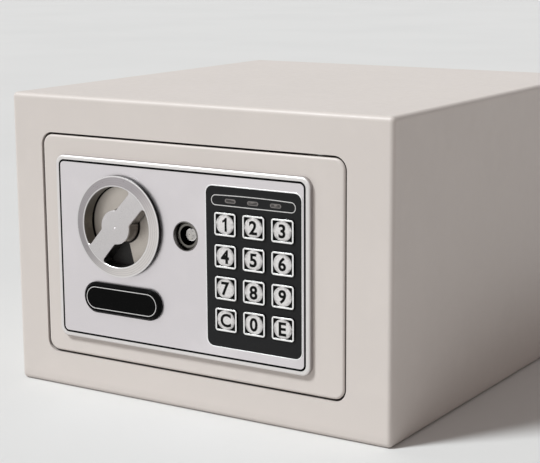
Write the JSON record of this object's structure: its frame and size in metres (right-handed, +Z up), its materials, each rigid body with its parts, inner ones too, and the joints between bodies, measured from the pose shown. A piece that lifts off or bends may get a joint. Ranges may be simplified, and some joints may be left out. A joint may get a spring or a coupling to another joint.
{
  "type": "electronic safe",
  "caption": "Small steel safe with a side-hinged door, turn knob with sliding bolts, override key lock and a keypad.",
  "frame": {"origin": "middle of the cabinet's base, on the outside face", "axes": "+X to the viewer's right facing the door, +Y from the door to the back, +Z up"},
  "size_m": [0.23, 0.2467, 0.158],
  "materials": {
    "shell_paint": "fine satin powder coat",
    "door_paint": "fine satin powder coat",
    "back_paint": "fine satin powder coat",
    "zinc_steel": "zinc plated",
    "bolt_steel": "turned and plated",
    "bezel_silver": "satin silver paint on plastic",
    "face_silver": "fine satin",
    "seam_black": "matt",
    "knob_silver": "satin metallic paint",
    "cup_silver": "satin metallic paint",
    "mark_black": "matt",
    "plate_black": "gloss",
    "keypad_black": "satin",
    "key_silver": "satin metallic",
    "lens_grey": "clear over grey",
    "lock_chrome": "polished",
    "plug_steel": "satin",
    "bush_brass": "turned",
    "coil_copper": "wound wire under tape",
    "board_green": "solder mask",
    "part_dark": "moulded",
    "cover_paint": "fine satin powder coat",
    "lid_black": "fine grained",
    "cell_jacket": "printed foil, bare",
    "reset_red": "gloss",
    "mat_felt": "needle felt"
  },
  "bodies": {
    "cabinet": {"body_shell": "shell_paint", "back_panel": "back_paint", "strike_angle": "shell_paint", "hinge_tabs": "shell_paint", "floor_mat": "mat_felt"},
    "door": {"door_plate": "door_paint", "hinge_lugs": "door_paint", "hinge_pins": "zinc_steel", "panel_frame": "bezel_silver", "panel_seam_strip": "seam_black", "panel_sheet": "face_silver", "name_plate": "plate_black", "knob_cup": "cup_silver", "position_mark": "mark_black", "mechanism_plate": "zinc_steel", "spindle_bush": "bush_brass", "door_studs": "zinc_steel", "bolt_guide": "zinc_steel", "guide_pins": "zinc_steel", "solenoid_frame": "zinc_steel", "solenoid_coil": "coil_copper", "plunger_spring": "zinc_steel", "lock_housing": "lock_chrome", "lock_nut": "zinc_steel", "keypad_plate": "keypad_black", "led_lenses": "lens_grey", "keypad_board": "board_green", "key_switches": "part_dark", "control_board": "board_green", "board_parts": "part_dark", "battery_tray": "lid_black", "battery_cells": "cell_jacket", "rear_cover": "cover_paint", "lid_rails": "lid_black", "cover_posts": "zinc_steel", "cover_screws": "zinc_steel"},
    "knob": {"turn_knob": "knob_silver", "knob_spindle": "zinc_steel", "drive_crank": "zinc_steel"},
    "bolt_work": {"bolt_carriage": "zinc_steel", "lock_tooth": "bolt_steel", "bolt_lower": "bolt_steel", "bolt_upper": "bolt_steel"},
    "key_plug": {"lock_plug": "plug_steel", "lock_cam": "zinc_steel"},
    "plunger": {"solenoid_plunger": "bolt_steel"},
    "lid": {"battery_lid": "lid_black"},
    "reset": {"reset_button": "reset_red"},
    "cap_1": {"key_1": "key_silver"},
    "cap_2": {"key_2": "key_silver"},
    "cap_3": {"key_3": "key_silver"},
    "cap_4": {"key_4": "key_silver"},
    "cap_5": {"key_5": "key_silver"},
    "cap_6": {"key_6": "key_silver"},
    "cap_7": {"key_7": "key_silver"},
    "cap_8": {"key_8": "key_silver"},
    "cap_9": {"key_9": "key_silver"},
    "cap_c": {"key_c": "key_silver"},
    "cap_0": {"key_0": "key_silver"},
    "cap_e": {"key_e": "key_silver"}
  },
  "joints": [
    {"name": "door_hinge", "type": "hinge", "parent": "cabinet", "child": "door", "pos_m": [0.0736, -0.1144, 0.078], "axis": [0, 0, 1], "range_deg": [0, 100]},
    {"name": "knob_turn", "type": "hinge", "parent": "door", "child": "knob", "pos_m": [-0.04218, -0.12, 0.09245], "axis": [0, -1, 0], "range_deg": [0, 90]},
    {"name": "bolt_throw", "type": "slide", "parent": "door", "child": "bolt_work", "axis": [-1, 0, 0], "range_m": [0, 0.01131]},
    {"name": "key_turn", "type": "hinge", "parent": "door", "child": "key_plug", "pos_m": [-0.00058, -0.11, 0.09145], "axis": [0, 1, 0], "range_deg": [0, 90]},
    {"name": "plunger_lift", "type": "slide", "parent": "door", "child": "plunger", "axis": [0, 0, 1], "range_m": [0, 0.0055], "deforming": ["plunger_spring"]},
    {"name": "lid_slide", "type": "slide", "parent": "door", "child": "lid", "axis": [0, 0, 1], "range_m": [0, 0.02]},
    {"name": "reset_press", "type": "slide", "parent": "door", "child": "reset", "axis": [0, -1, 0], "range_m": [0, 0.002], "stiffness_N_per_m": 300},
    {"name": "press_1", "type": "slide", "parent": "door", "child": "cap_1", "axis": [0, 1, 0], "range_m": [0, 0.0009], "stiffness_N_per_m": 500},
    {"name": "press_2", "type": "slide", "parent": "door", "child": "cap_2", "axis": [0, 1, 0], "range_m": [0, 0.0009], "stiffness_N_per_m": 500},
    {"name": "press_3", "type": "slide", "parent": "door", "child": "cap_3", "axis": [0, 1, 0], "range_m": [0, 0.0009], "stiffness_N_per_m": 500},
    {"name": "press_4", "type": "slide", "parent": "door", "child": "cap_4", "axis": [0, 1, 0], "range_m": [0, 0.0009], "stiffness_N_per_m": 500},
    {"name": "press_5", "type": "slide", "parent": "door", "child": "cap_5", "axis": [0, 1, 0], "range_m": [0, 0.0009], "stiffness_N_per_m": 500},
    {"name": "press_6", "type": "slide", "parent": "door", "child": "cap_6", "axis": [0, 1, 0], "range_m": [0, 0.0009], "stiffness_N_per_m": 500},
    {"name": "press_7", "type": "slide", "parent": "door", "child": "cap_7", "axis": [0, 1, 0], "range_m": [0, 0.0009], "stiffness_N_per_m": 500},
    {"name": "press_8", "type": "slide", "parent": "door", "child": "cap_8", "axis": [0, 1, 0], "range_m": [0, 0.0009], "stiffness_N_per_m": 500},
    {"name": "press_9", "type": "slide", "parent": "door", "child": "cap_9", "axis": [0, 1, 0], "range_m": [0, 0.0009], "stiffness_N_per_m": 500},
    {"name": "press_c", "type": "slide", "parent": "door", "child": "cap_c", "axis": [0, 1, 0], "range_m": [0, 0.0009], "stiffness_N_per_m": 500},
    {"name": "press_0", "type": "slide", "parent": "door", "child": "cap_0", "axis": [0, 1, 0], "range_m": [0, 0.0009], "stiffness_N_per_m": 500},
    {"name": "press_e", "type": "slide", "parent": "door", "child": "cap_e", "axis": [0, 1, 0], "range_m": [0, 0.0009], "stiffness_N_per_m": 500}
  ],
  "couplings": [
    {"joint": "knob_turn", "follows": "bolt_throw", "rad_per_m": 138.84}
  ]
}
